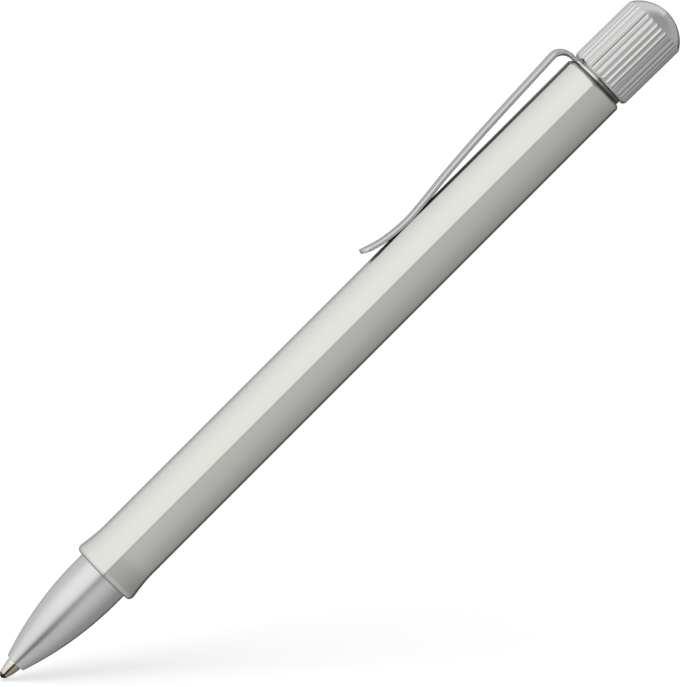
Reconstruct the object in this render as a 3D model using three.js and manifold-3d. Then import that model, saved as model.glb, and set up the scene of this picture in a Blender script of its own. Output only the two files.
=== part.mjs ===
// A twist ballpoint pen, lying on a side of its hexagonal barrel, with the clip on top and the tip out.
// Millimetres, +X from the tip to the crown, +Z up. Inside this file x runs from the ball (x = 0) along
// the pen's own axis, and the whole pen is set on z = 0 and centred at the end.
import * as THREE from "three";
import { mergeVertices } from "three/addons/utils/BufferGeometryUtils.js";
import Module from "manifold-3d";

// Lengths along the pen
const TIP_OUT = 2.98; // the refill's tip in front of the nose
const NOSE_LENGTH = 18.345; // nose, from its front face to the barrel's mouth
const BARREL_LENGTH = 102.06;
const CROWN_RIB_LENGTH = 11.3; // ribbed part of the crown, with its chamfer
const CROWN_DOME_HEIGHT = 2.88;

// Barrel: six faces, each slightly crowned, and a bell mouth
const BARREL_FLATS = 10.08; // across the middle of two faces
const FACE_CROWNING = 0.38; // how far the middle of a face stands above its two edges
const CORNER_BREAK = 0.16; // width of the broken edge between two faces
const FACE_STRIPS = 5; // odd, so that a flat strip lies in the middle of each face
const MOUTH_FLARE = 0.42; // how far the mouth's lip stands out from the faces
const MOUTH_FLARE_LENGTH = 4.8;
const MOUTH_LIP_RADIUS = 0.5;
const FLARE_STATIONS = [0.1, 0.25, 0.42, 0.6, 0.8, 1]; // shares of the flare's length
const BARREL_BORE = 4.1;
const BARREL_CHAMFER = 0.47;
const REAR_BORE = 3.5; // the narrow bore behind the mechanism's shoulder
const REAR_WEB_LENGTH = 7.375;

// Nose: an ogive with a threaded spigot
const NOSE_RADIUS = 4.35;
const NOSE_FACE_RADIUS = 1.6;
const NOSE_EDGE = 0.14;
const OGIVE_LENGTH = 16.775;
const TIP_HOLE = 1.27;
const TIP_HOLE_LENGTH = 4.05;
const NECK_BORE = 1.9;
const SPRING_SEAT = 6.02; // from the nose's front face to the shoulder that the spring stands on
const SPRING_BORE = 2.55;
const SPRING_BORE_LENGTH = 8;
const NOSE_REAR_BORE = 3.15;
const SPIGOT_RADIUS = 3.85;
const SPIGOT_LENGTH = 9.6;
const SPIGOT_RELIEF = 0.3;
const SPIGOT_RELIEF_LENGTH = 1.2;
const MOUTH_RECESS = 0.3; // how deep the nose's shoulder sinks into the mouth

// Front bush, pressed into the barrel for the nose's thread
const BUSH_WALL = 0.48;
const BUSH_LENGTH = 11.8;
const BUSH_EDGE = 0.1;
const THREAD_LEAD = 0.15; // chamfer where a thread starts

// Refill
const BALL_RADIUS = 0.5;
const TIP_RADIUS = 1.15;
const TIP_CONE_LENGTH = 2.3;
const TIP_LENGTH = 7.96;
const TIP_SHANK_RADIUS = 0.83;
const TIP_SHANK_LENGTH = 4.2;
const TIP_LIP = 0.18; // how far the tip's lip reaches in front of the ball's middle
const TIP_LIP_ROLL = 0.04; // how far the lip is rolled in over the ball
const TIP_LIP_WALL = 0.06;
const TIP_SOCKET_WALL = 0.1;
const INK_CHAMBER = 0.2; // length of the room behind the ball
const INK_CHANNEL = 0.35;
const NECK_RADIUS = 1.75;
const NECK_LENGTH = 10.95;
const NECK_FLANGE_LENGTH = 1.6;
const NECK_EDGE = 0.3;
const NECK_INK_BORE = 1.26;
const NECK_INK_STEP = 0.2; // from the end of the tip's shank to the wider bore's cone
const REFILL_RADIUS = 2.95;
const REFILL_WALL = 0.3;
const REFILL_FRONT_WALL = 0.7;
const REFILL_EDGE = 0.2;
const REFILL_TUBE_LENGTH = 76.3;
const REAR_PLUG_HEAD = 3.46;
const REAR_PLUG_SHANK = 3;
const REAR_PLUG_LEAD = 0.4; // length of the chamfer on the plug's shank
const REAR_PLUG_NOTCH = 0.9;
const REAR_PLUG_NOTCH_DEPTH = 1.1;
const REAR_PLUG_VENT = 0.5;

// Return spring
const SPRING_WIRE = 0.2; // radius of the wire
const SPRING_RADIUS = 2.22; // radius of the coil, to the wire's middle
const SPRING_TURNS = 8;
const SPRING_STEPS = 8; // steps in a turn
const SPRING_SIDES = 5;

// Twist mechanism
const TRAVEL = 4.5; // how far the refill goes back
const TWIST = Math.PI; // how far the crown turns for it
const PUSHER_RADIUS = 2.4;
const PUSHER_EDGE = 0.3;
const PIN_RADIUS = 0.5;
const PIN_BEHIND_PUSHER_FRONT = 8.16;
const PUSHER_BEHIND_PIN = 1.6;
const PIN_END_GAP = 0.25; // from the pin's ends to the barrel's bore
const HOUSING_WALL = 0.55;
const END_RING_LENGTH = 1.5;
const END_RING_EDGE = 0.25;
const HOUSING_EDGE = 0.15;
const ROTOR_FRONT_WALL = 1.8; // from the rotor's front to the middle of the pin at rest
const ROTOR_WALL = 0.9;
const ROTOR_BACK_WALL = 1.8;
const ROTOR_BEHIND_PUSHER = 0.3; // room behind the pusher when it is fully back
const HOUSING_BACK_WALL = 0.9;
const HOUSING_STUB_WALL = 0.55;
const HOUSING_STUB_LENGTH = 6.7;
const STEM_RADIUS = 2.2;
const STEM_EDGE = 0.4;
const STEM_IN_CROWN = 7.9; // how far the stem reaches into the crown
const SLOT_STEPS = 16;
const SLOT_END_STEPS = 10;
const CUTTER_REACH = 0.5; // how far a slot's cutter runs past the wall that it cuts
const CAM_CLEARANCE = 0.12; // between the pin and the sides of its slots
const RING_SECTION = 0.3; // radius of the friction ring's section
const RING_SQUEEZE_GAP = 0.02; // radial, between the friction ring and the nut's bore
const RING_SIDE_GAP = 0.06;
const RING_STEPS = 8;
const RING_FROM_BARREL_END = 3.2;

// Clip: one pressed leaf of steel with a ring at its root
const CLIP_METAL = 0.57;
const CLIP_WIDTH = 5;
const CLIP_ROOT_WIDTH = 3.7; // where the leaf runs into its ring
const CLIP_CROWNING = 0.56; // how far the middle of the leaf stands above its edges, at its bend
const CLIP_TOE_CROWNING = 0.43; // the same where it rests on the barrel
const CLIP_RING_RADIUS = 4.46;
const CLIP_RING_GAP = 0.1; // radial, between the ring and the nut's sleeve
const CLIP_FLAT_ROOT = 0.3; // how far the upright stays flat past the ring
const CLIP_ROOT_DEPTH = 0.5; // how far the upright runs into the ring
const CLIP_BEND_RADIUS = 2.25;
const CLIP_HEIGHT = 7.27; // the leaf's edge above the pen's axis, where the bend starts
const CLIP_LOW_POINT = 34.1; // from the barrel's end to where the leaf rests on the barrel
const CLIP_TAIL = 7.9; // from the low point to the tail
const CLIP_TAIL_CURL = 21.7; // radius of the tail's upward curl
const CLIP_SPRING_GAP = 0.04; // between the leaf's edges and the face that they rest on
const CLIP_TAIL_ROUNDING = 2.2; // length of the tail's rounded end
const CLIP_TAIL_NARROWING = 0.9; // share of the leaf's width that the tail's rounding takes off
const CLIP_ROOT_ARCH = 0.35; // share of the arch that is left where the bend meets the upright
const CLIP_STEPS = 6; // strips across the leaf
const CLIP_ARM_STEPS = 20; // steps along its arm
const CLIP_BEND_STEPS = 8; // steps round its bend

// Clip nut, which holds the clip and the mechanism to the barrel
const NUT_FLANGE_RADIUS = 4.1;
const NUT_FLANGE = 0.75;
const NUT_SLEEVE_LENGTH = 6.1;
const NUT_SLOT = 0.8;
const NUT_SLOT_DEPTH = 0.4;

// Crown
const CROWN_RADIUS = 5.16;
const CROWN_RIBS = 36;
const RIB_HEIGHT = 0.2;
const RIB_TOP = 0.24;
const RIB_FOOT = 0.36;
const RIB_CUT_PAST = 0.02; // how far the ribs' outline runs past the turned radius
const CROWN_CHAMFER = 0.4;
const CROWN_RECESS = 4.3;
const CROWN_RECESS_DEPTH = 1.1;
const CROWN_BORE = 3.4;
const CROWN_BORE_DEPTH = 8.3;
const CROWN_WASHER = 0.3;
const CROWN_WASHER_GAP = 0.2; // radial, between the washer and the recess
const INSERT_LENGTH = 7.9;
const INSERT_EDGE = 0.15;

// Fits
const SEAT = 0.04; // between two pieces that rest on each other
const PRESSED = 0.03; // radial, between two pieces that are pressed or screwed together
const RUNNING = 0.08; // radial, between two pieces that turn or slide on each other
const TURNING_GAP = 0.05; // along the pen, between the crown and the clip's ring

const FINE_ROUND = 72; // sides of the crown and of the barrel's chamfer
const ROUND = 36; // sides of a large turned surface
const SMALL_ROUND = 24; // sides of a small one
const PIN_ROUND = 16; // sides of the cross pin and of the ball
const LIP_STEPS = 4; // steps round the mouth's lip
const OGIVE_STEPS = 10;
const DOME_STEPS = 6;
const PAST_END = 1; // how far a cutting shape runs past the piece that it cuts

const wasm = await Module();
wasm.setup();

// A closed geometry as a solid that can be joined and cut.
function solid(geometry) {
  const bare = geometry.clone();
  bare.deleteAttribute("normal");
  bare.deleteAttribute("uv");
  const merged = mergeVertices(bare, 1e-4);
  const index = merged.index.array;
  const triangles = [];
  for (let i = 0; i < index.length; i += 3) {
    const [a, b, c] = [index[i], index[i + 1], index[i + 2]];
    if (a !== b && b !== c && c !== a) triangles.push(a, b, c);
  }
  return new wasm.Manifold(
    new wasm.Mesh({
      numProp: 3,
      vertProperties: merged.attributes.position.array,
      triVerts: new Uint32Array(triangles),
    }),
  );
}

// A solid as a geometry again.
function geometryOf(body) {
  const mesh = body.getMesh();
  const positions = new Float32Array(mesh.numVert * 3);
  for (let i = 0; i < mesh.numVert; i++) {
    positions.set(mesh.vertProperties.subarray(i * mesh.numProp, i * mesh.numProp + 3), i * 3);
  }
  const geometry = new THREE.BufferGeometry();
  geometry.setAttribute("position", new THREE.BufferAttribute(positions, 3));
  geometry.setIndex(new THREE.BufferAttribute(mesh.triVerts, 1));
  geometry.computeVertexNormals();
  return geometry;
}

// A turned piece: a closed outline of [x, radius] points, spun about the pen's axis.
function turned(outline, sides = ROUND) {
  const points = outline.map(([x, radius]) => new THREE.Vector2(radius, x));
  if (THREE.ShapeUtils.isClockWise(points)) points.reverse();
  points.push(points[0].clone());
  return solid(new THREE.LatheGeometry(points, sides).rotateZ(-Math.PI / 2));
}

// A plain ring or sleeve between two places along the pen.
function sleeve(front, back, inner, outer, sides = ROUND) {
  return turned([[front, inner], [front, outer], [back, outer], [back, inner]], sides);
}

// A skin through rings of points, with a flat end at the first ring and at the last one.
function loft(rings) {
  const around = rings[0].length;
  const positions = rings.flat().flatMap((p) => [p.x, p.y, p.z]);
  const index = [];
  for (let ring = 0; ring + 1 < rings.length; ring++) {
    for (let i = 0; i < around; i++) {
      const a = ring * around + i;
      const b = ring * around + ((i + 1) % around);
      index.push(a, b, b + around, a, b + around, a + around);
    }
  }
  const last = (rings.length - 1) * around;
  const outline = flatOutline(rings[0]);
  for (const [a, b, c] of THREE.ShapeUtils.triangulateShape(outline, [])) {
    index.push(a, c, b);
    index.push(last + a, last + b, last + c);
  }
  const geometry = new THREE.BufferGeometry();
  geometry.setAttribute("position", new THREE.Float32BufferAttribute(positions, 3));
  geometry.setIndex(index);
  return solid(geometry);
}

// A ring of points laid flat, seen against the direction in which it turns anticlockwise.
function flatOutline(ring) {
  const normal = new THREE.Vector3();
  ring.forEach((p, i) => normal.add(p.clone().cross(ring[(i + 1) % ring.length])));
  normal.normalize();
  const across = ring[1].clone().sub(ring[0]).projectOnPlane(normal).normalize();
  const up = normal.clone().cross(across);
  return ring.map((p) => new THREE.Vector2(p.dot(across), p.dot(up)));
}

// A point at an angle about the pen's axis. The angle is 0 towards +Y and grows towards +Z.
function around(x, radius, angle) {
  return new THREE.Vector3(x, radius * Math.cos(angle), radius * Math.sin(angle));
}

// The points of an arc of [x, radius] values, ends included.
function arc(centreX, centreR, radius, from, to, steps) {
  return Array.from({ length: steps + 1 }, (_, i) => {
    const angle = from + ((to - from) * i) / steps;
    return [centreX + radius * Math.cos(angle), centreR + radius * Math.sin(angle)];
  });
}

const pen = new THREE.Group();

function piece(name, body, colour, roughness, metalness) {
  const material = new THREE.MeshStandardMaterial({ color: colour, roughness, metalness });
  const mesh = new THREE.Mesh(geometryOf(body), material);
  mesh.name = name;
  pen.add(mesh);
}

const anodised = [0xdcdcd6, 0.38, 0.9];
const satinNickel = [0xcfd0cf, 0.3, 1];
const polishedSteel = [0xc4c5c8, 0.18, 1];
const brass = [0xc9a55c, 0.3, 1];
const nickelSilver = [0xc9bfae, 0.22, 1];
const carbide = [0x1c1a19, 0.12, 1];
const springSteel = [0xa9abae, 0.25, 1];
const acetal = [0xe9e7df, 0.5, 0];
const darkRubber = [0x202020, 0.7, 0];

// Places along the pen that several pieces share
const noseFront = TIP_OUT;
const mouth = noseFront + NOSE_LENGTH;
const barrelEnd = mouth + BARREL_LENGTH;
const shoulder = barrelEnd - REAR_WEB_LENGTH;
const ringFront = barrelEnd + SEAT;
const ringBack = ringFront + CLIP_METAL;
const crownFront = ringBack + TURNING_GAP;
const ribEnd = crownFront + CROWN_RIB_LENGTH;
const crownTop = ribEnd + CROWN_DOME_HEIGHT;
const bushBore = SPIGOT_RADIUS + RUNNING;
const bushRadius = bushBore + BUSH_WALL;
const mouthBore = bushRadius + PRESSED;
const bushFront = mouth + MOUTH_RECESS;
const springFront = noseFront + SPRING_SEAT;

// Barrel
function faceHeight(halfFlats, along) {
  const halfFace = (halfFlats - FACE_CROWNING) * Math.tan(Math.PI / 6);
  const crownRadius = (halfFace ** 2 + FACE_CROWNING ** 2) / (2 * FACE_CROWNING);
  return halfFlats - crownRadius + Math.sqrt(crownRadius ** 2 - along ** 2);
}

// One face's points, from edge to edge, for a barrel of half the width across its flats.
function facePoints(halfFlats) {
  const halfFace = (halfFlats - FACE_CROWNING) * Math.tan(Math.PI / 6) - CORNER_BREAK / 2;
  return Array.from({ length: FACE_STRIPS + 1 }, (_, i) => {
    const along = halfFace * ((2 * i) / FACE_STRIPS - 1);
    return new THREE.Vector2(along, faceHeight(halfFlats, along));
  });
}

// The barrel's section: the first face looks up, towards the clip.
function barrelSection(x, halfFlats) {
  const ring = [];
  for (let face = 0; face < 6; face++) {
    const turn = Math.PI / 2 + (face * Math.PI) / 3;
    for (const p of facePoints(halfFlats)) {
      const y = p.y * Math.cos(turn) - p.x * Math.sin(turn);
      const z = p.y * Math.sin(turn) + p.x * Math.cos(turn);
      ring.push(new THREE.Vector3(x, y, z));
    }
  }
  return ring;
}

const halfFlats = BARREL_FLATS / 2;
const lip = halfFlats + MOUTH_FLARE;
const lipSections = arc(
  mouth + MOUTH_LIP_RADIUS,
  lip - MOUTH_LIP_RADIUS,
  MOUTH_LIP_RADIUS,
  Math.PI,
  Math.PI / 2,
  LIP_STEPS,
);
const flareSections = FLARE_STATIONS.map((share) => [
  mouth + MOUTH_LIP_RADIUS + share * MOUTH_FLARE_LENGTH,
  halfFlats + MOUTH_FLARE * (1 - share) ** 2,
]);
const barrelOutside = loft(
  [...lipSections, ...flareSections, [barrelEnd, halfFlats]].map(([x, half]) => barrelSection(x, half)),
);
const corner = halfFlats / Math.cos(Math.PI / 6) + MOUTH_FLARE * 2;
const chamferFoot = halfFlats - BARREL_CHAMFER;
const chamferTurning = turned([
  [mouth - PAST_END, 0],
  [mouth - PAST_END, corner],
  [barrelEnd - (corner - chamferFoot), corner],
  [barrelEnd, chamferFoot],
  [barrelEnd, 0],
], FINE_ROUND);
const barrelInside = turned([
  [mouth - PAST_END, 0],
  [mouth - PAST_END, mouthBore],
  [bushFront + BUSH_LENGTH + PRESSED, mouthBore],
  [bushFront + BUSH_LENGTH + PRESSED, BARREL_BORE],
  [shoulder, BARREL_BORE],
  [shoulder, REAR_BORE],
  [barrelEnd + PAST_END, REAR_BORE],
  [barrelEnd + PAST_END, 0],
]);
piece("barrel", barrelOutside.intersect(chamferTurning).subtract(barrelInside), ...anodised);

// Front bush
piece("barrel_front_bush", turned([
  [bushFront, bushBore + THREAD_LEAD],
  [bushFront, bushRadius - BUSH_EDGE],
  [bushFront + BUSH_EDGE, bushRadius],
  [bushFront + BUSH_LENGTH - BUSH_EDGE, bushRadius],
  [bushFront + BUSH_LENGTH, bushRadius - BUSH_EDGE],
  [bushFront + BUSH_LENGTH, bushBore],
  [bushFront + THREAD_LEAD, bushBore],
]), ...brass);

// Nose cone, with the bore that holds the spring and the refill's front
const ogiveDrop = NOSE_RADIUS - NOSE_FACE_RADIUS;
const ogiveRadius = (OGIVE_LENGTH ** 2 + ogiveDrop ** 2) / (2 * ogiveDrop);
const ogiveFrom = Math.PI / 2 + Math.asin((OGIVE_LENGTH - NOSE_EDGE) / ogiveRadius);
const ogive = arc(
  noseFront + OGIVE_LENGTH,
  NOSE_RADIUS - ogiveRadius,
  ogiveRadius,
  ogiveFrom,
  Math.PI / 2,
  OGIVE_STEPS,
);
const noseBack = bushFront - SEAT;
const spigotBack = mouth + SPIGOT_LENGTH;
const springBoreEnd = springFront + SPRING_BORE_LENGTH;
piece("nose_cone", turned([
  [noseFront, TIP_HOLE],
  [noseFront, NOSE_FACE_RADIUS - NOSE_EDGE],
  ...ogive,
  [noseBack, NOSE_RADIUS],
  [noseBack, SPIGOT_RADIUS - SPIGOT_RELIEF],
  [noseBack + SPIGOT_RELIEF_LENGTH, SPIGOT_RADIUS - SPIGOT_RELIEF],
  [noseBack + SPIGOT_RELIEF_LENGTH + SPIGOT_RELIEF, SPIGOT_RADIUS],
  [spigotBack - SPIGOT_RELIEF, SPIGOT_RADIUS],
  [spigotBack, SPIGOT_RADIUS - SPIGOT_RELIEF],
  [spigotBack, NOSE_REAR_BORE],
  [springBoreEnd + NOSE_REAR_BORE - SPRING_BORE, NOSE_REAR_BORE],
  [springBoreEnd, SPRING_BORE],
  [springFront, SPRING_BORE],
  [springFront, NECK_BORE],
  [noseFront + TIP_HOLE_LENGTH, NECK_BORE],
  [noseFront + TIP_HOLE_LENGTH, TIP_HOLE],
]), ...satinNickel);

// Refill: ball, tip, neck, tube and rear plug
const ball = new THREE.SphereGeometry(BALL_RADIUS, PIN_ROUND, PIN_ROUND / 2).translate(BALL_RADIUS, 0, 0);
piece("refill_ball", solid(ball), ...carbide);

const socketRadius = BALL_RADIUS + PRESSED;
const lipFront = BALL_RADIUS - TIP_LIP;
const neckFront = TIP_LENGTH + SEAT;
piece("refill_tip", turned([
  [lipFront, socketRadius - TIP_LIP_ROLL],
  [lipFront, socketRadius - TIP_LIP_ROLL + TIP_LIP_WALL],
  [BALL_RADIUS, socketRadius + TIP_SOCKET_WALL],
  [BALL_RADIUS + TIP_CONE_LENGTH, TIP_RADIUS],
  [TIP_LENGTH, TIP_RADIUS],
  [TIP_LENGTH, TIP_SHANK_RADIUS],
  [TIP_LENGTH + TIP_SHANK_LENGTH, TIP_SHANK_RADIUS],
  [TIP_LENGTH + TIP_SHANK_LENGTH, INK_CHANNEL],
  [2 * BALL_RADIUS + INK_CHAMBER, INK_CHANNEL],
  [2 * BALL_RADIUS + PRESSED, socketRadius],
  [BALL_RADIUS, socketRadius],
], SMALL_ROUND), ...nickelSilver);

const tubeFront = neckFront + NECK_LENGTH - REFILL_FRONT_WALL;
const flangeFront = tubeFront + REFILL_FRONT_WALL + SEAT;
const shankBore = TIP_SHANK_RADIUS + PRESSED;
const tubeBore = REFILL_RADIUS - REFILL_WALL;
const flangeRadius = tubeBore - PRESSED;
const inkConeFront = neckFront + TIP_SHANK_LENGTH + NECK_INK_STEP;
piece("refill_neck", turned([
  [neckFront, shankBore],
  [neckFront, NECK_RADIUS - NECK_EDGE],
  [neckFront + NECK_EDGE, NECK_RADIUS],
  [flangeFront, NECK_RADIUS],
  [flangeFront, flangeRadius],
  [flangeFront + NECK_FLANGE_LENGTH, flangeRadius],
  [flangeFront + NECK_FLANGE_LENGTH, NECK_INK_BORE],
  [inkConeFront + NECK_INK_BORE - shankBore, NECK_INK_BORE],
  [inkConeFront, shankBore],
], SMALL_ROUND), ...brass);

const tubeBack = tubeFront + REFILL_TUBE_LENGTH;
const neckHole = NECK_RADIUS + PRESSED;
piece("refill_tube", turned([
  [tubeFront, neckHole],
  [tubeFront, REFILL_RADIUS - REFILL_EDGE],
  [tubeFront + REFILL_EDGE, REFILL_RADIUS],
  [tubeBack, REFILL_RADIUS],
  [tubeBack, tubeBore],
  [tubeFront + REFILL_FRONT_WALL, tubeBore],
  [tubeFront + REFILL_FRONT_WALL, neckHole],
], ROUND), ...satinNickel);

const plugBack = tubeBack + SEAT + REAR_PLUG_HEAD;
let rearPlug = turned([
  [tubeBack - REAR_PLUG_SHANK, REAR_PLUG_VENT],
  [tubeBack - REAR_PLUG_SHANK, flangeRadius - REFILL_EDGE],
  [tubeBack - REAR_PLUG_SHANK + REAR_PLUG_LEAD, flangeRadius],
  [tubeBack + SEAT, flangeRadius],
  [tubeBack + SEAT, REFILL_RADIUS],
  [plugBack - REFILL_EDGE, REFILL_RADIUS],
  [plugBack, REFILL_RADIUS - REFILL_EDGE],
  [plugBack, REAR_PLUG_VENT],
], SMALL_ROUND);
for (const turn of [0, Math.PI / 2]) {
  const notch = new THREE.BoxGeometry(2 * REAR_PLUG_NOTCH_DEPTH, REAR_PLUG_NOTCH, 3 * REFILL_RADIUS);
  rearPlug = rearPlug.subtract(solid(notch.rotateX(turn).translate(plugBack, 0, 0)));
}
piece("refill_rear_plug", rearPlug, ...acetal);

// Return spring, an open coil between the nose's shoulder and the front of the refill's tube
const springFrom = springFront + SEAT + SPRING_WIRE;
const springTo = tubeFront - SEAT - SPRING_WIRE;
const springRings = [];
const springLine = [];
for (let step = 0; step <= SPRING_TURNS * SPRING_STEPS; step++) {
  const share = step / (SPRING_TURNS * SPRING_STEPS);
  const angle = share * SPRING_TURNS * 2 * Math.PI;
  const centre = around(springFrom + share * (springTo - springFrom), SPRING_RADIUS, angle);
  const outward = around(0, 1, angle);
  const rise = (springTo - springFrom) / (SPRING_TURNS * 2 * Math.PI * SPRING_RADIUS);
  const forward = around(rise, 1, angle + Math.PI / 2).normalize();
  const side = forward.clone().cross(outward);
  springLine.push(centre);
  springRings.push(Array.from({ length: SPRING_SIDES }, (_, i) => {
    const turn = (i * 2 * Math.PI) / SPRING_SIDES;
    return centre.clone()
      .addScaledVector(outward, SPRING_WIRE * Math.cos(turn))
      .addScaledVector(side, SPRING_WIRE * Math.sin(turn));
  }));
}
let leastGap = Infinity;
springLine.forEach((p, i) => springLine.forEach((q, k) => {
  if (k - i >= SPRING_STEPS / 2) leastGap = Math.min(leastGap, p.distanceTo(q) - 2 * SPRING_WIRE);
}));
console.log("return_spring, least gap between turns:", leastGap.toFixed(2), "mm");
piece("return_spring", loft(springRings), ...springSteel);

// Pusher and its cross pin
const pusherFront = plugBack + SEAT;
const pinX = pusherFront + PIN_BEHIND_PUSHER_FRONT;
const pusherBack = pinX + PUSHER_BEHIND_PIN;
const pusherRod = turned([
  [pusherFront, 0],
  [pusherFront, PUSHER_RADIUS - PUSHER_EDGE],
  [pusherFront + PUSHER_EDGE, PUSHER_RADIUS],
  [pusherBack - PUSHER_EDGE, PUSHER_RADIUS],
  [pusherBack, PUSHER_RADIUS - PUSHER_EDGE],
  [pusherBack, 0],
], SMALL_ROUND);
function crossBar(radius, halfLength, sides = SMALL_ROUND) {
  return new THREE.CylinderGeometry(radius, radius, 2 * halfLength, sides).translate(pinX, 0, 0);
}
piece(
  "pusher",
  pusherRod.subtract(solid(crossBar(PIN_RADIUS + PRESSED, 2 * PUSHER_RADIUS))),
  ...acetal,
);
piece("cross_pin", solid(crossBar(PIN_RADIUS, BARREL_BORE - PIN_END_GAP, PIN_ROUND)), ...polishedSteel);

// Mechanism housing, with a straight slot on each side that keeps the pin from turning
const housingRadius = BARREL_BORE - PRESSED;
const housingBore = housingRadius - HOUSING_WALL;
const rotorFront = pinX - ROTOR_FRONT_WALL;
const endRingFront = rotorFront - TURNING_GAP - END_RING_LENGTH;
const housingBack = shoulder - SEAT;
const washerSeat = housingBack - HOUSING_BACK_WALL;
const stubRadius = REAR_BORE - PRESSED;
const stubBore = stubRadius - HOUSING_STUB_WALL;
const stubBack = shoulder + HOUSING_STUB_LENGTH;
const housingTurning = turned([
  [endRingFront, housingBore],
  [endRingFront, housingRadius - HOUSING_EDGE],
  [endRingFront + HOUSING_EDGE, housingRadius],
  [housingBack, housingRadius],
  [housingBack, stubRadius],
  [stubBack, stubRadius],
  [stubBack, stubBore],
  [washerSeat, stubBore],
  [washerSeat, housingBore],
]);
const slotHalfWidth = PIN_RADIUS + CAM_CLEARANCE;
const slotShape = new THREE.Shape();
slotShape.absarc(pinX, 0, slotHalfWidth, Math.PI / 2, (3 * Math.PI) / 2);
slotShape.absarc(pinX + TRAVEL, 0, slotHalfWidth, -Math.PI / 2, Math.PI / 2);
slotShape.closePath();
const straightSlots = new THREE.ExtrudeGeometry(slotShape, {
  depth: 4 * housingRadius,
  bevelEnabled: false,
  curveSegments: SLOT_END_STEPS,
});
straightSlots.translate(0, 0, -2 * housingRadius).rotateX(Math.PI / 2);
piece("mechanism_housing", housingTurning.subtract(solid(straightSlots)), ...brass);

piece("mechanism_end_ring", turned([
  [endRingFront, PUSHER_RADIUS + RUNNING + END_RING_EDGE],
  [endRingFront, housingBore - PRESSED],
  [endRingFront + END_RING_LENGTH, housingBore - PRESSED],
  [endRingFront + END_RING_LENGTH, PUSHER_RADIUS + RUNNING],
  [endRingFront + END_RING_EDGE, PUSHER_RADIUS + RUNNING],
]), ...acetal);

// Cam rotor: a cup with two helical slots, and the stem that the crown turns
const rotorRadius = housingBore - RUNNING;
const rotorBore = rotorRadius - ROTOR_WALL;
const cavityBack = pusherBack + TRAVEL + ROTOR_BEHIND_PUSHER;
const rotorBack = cavityBack + ROTOR_BACK_WALL;
const stemBack = crownFront + STEM_IN_CROWN;
const ringPlace = barrelEnd - RING_FROM_BARREL_END;
const nutBore = STEM_RADIUS + RUNNING;
const grooveRadius = nutBore - RING_SQUEEZE_GAP - 2 * RING_SECTION - PRESSED;
const grooveHalf = RING_SECTION + RING_SIDE_GAP;
const rotorTurning = turned([
  [rotorFront, rotorBore],
  [rotorFront, rotorRadius],
  [rotorBack, rotorRadius],
  [rotorBack, STEM_RADIUS],
  [ringPlace - grooveHalf, STEM_RADIUS],
  [ringPlace - grooveHalf, grooveRadius],
  [ringPlace + grooveHalf, grooveRadius],
  [ringPlace + grooveHalf, STEM_RADIUS],
  [stemBack - STEM_EDGE, STEM_RADIUS],
  [stemBack, STEM_RADIUS - STEM_EDGE],
  [stemBack, 0],
  [cavityBack, 0],
  [cavityBack, rotorBore],
]);
// A slot climbs TRAVEL while it goes TWIST round the rotor. Its ends are round, like the cutter.
function camSlot(start) {
  const inner = rotorBore - CUTTER_REACH;
  const outer = rotorRadius + CUTTER_REACH;
  const climb = Math.atan(TRAVEL / (TWIST * rotorBore));
  const halfAxial = slotHalfWidth / Math.cos(climb);
  const rings = [];
  for (let step = 0; step <= SLOT_STEPS; step++) {
    const angle = start - (TWIST * step) / SLOT_STEPS;
    const x = pinX + (TRAVEL * step) / SLOT_STEPS;
    rings.push([
      around(x - halfAxial, inner, angle),
      around(x - halfAxial, outer, angle),
      around(x + halfAxial, outer, angle),
      around(x + halfAxial, inner, angle),
    ]);
  }
  const ends = [0, 1].map((end) => {
    const cutter = new THREE.CylinderGeometry(slotHalfWidth, slotHalfWidth, outer - inner, PIN_ROUND);
    cutter.translate(0, (inner + outer) / 2, 0);
    cutter.rotateX(start - TWIST * end).translate(pinX + TRAVEL * end, 0, 0);
    return solid(cutter);
  });
  return loft(rings).add(ends[0]).add(ends[1]);
}
piece("cam_rotor", rotorTurning.subtract(camSlot(0)).subtract(camSlot(Math.PI)), ...brass);

// Thrust washer between the rotor and the housing, and the friction ring on the stem
piece("thrust_washer", sleeve(
  rotorBack + SEAT,
  washerSeat - SEAT,
  STEM_RADIUS + RUNNING,
  housingBore - RUNNING,
  SMALL_ROUND,
), ...acetal);
const ringMiddle = grooveRadius + PRESSED / 2 + RING_SECTION;
piece("friction_ring", turned(
  arc(ringPlace, ringMiddle, RING_SECTION, 0, 2 * Math.PI, RING_STEPS).slice(1),
  SMALL_ROUND,
), ...darkRubber);

// Clip nut: its sleeve screws into the housing's stub and its flange holds the clip's ring
const nutRadius = stubBore - PRESSED;
const flangeNutFront = ringBack + SEAT;
const flangeNutBack = flangeNutFront + NUT_FLANGE;
let clipNut = turned([
  [flangeNutFront - NUT_SLEEVE_LENGTH, nutBore],
  [flangeNutFront - NUT_SLEEVE_LENGTH, nutRadius - THREAD_LEAD],
  [flangeNutFront - NUT_SLEEVE_LENGTH + THREAD_LEAD, nutRadius],
  [flangeNutFront, nutRadius],
  [flangeNutFront, NUT_FLANGE_RADIUS],
  [flangeNutBack, NUT_FLANGE_RADIUS],
  [flangeNutBack, nutBore],
]);
const spannerSlot = new THREE.BoxGeometry(2 * NUT_SLOT_DEPTH, NUT_SLOT, 3 * NUT_FLANGE_RADIUS);
clipNut = clipNut.subtract(solid(spannerSlot.translate(flangeNutBack, 0, 0)));
piece("clip_nut", clipNut, ...brass);

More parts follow.
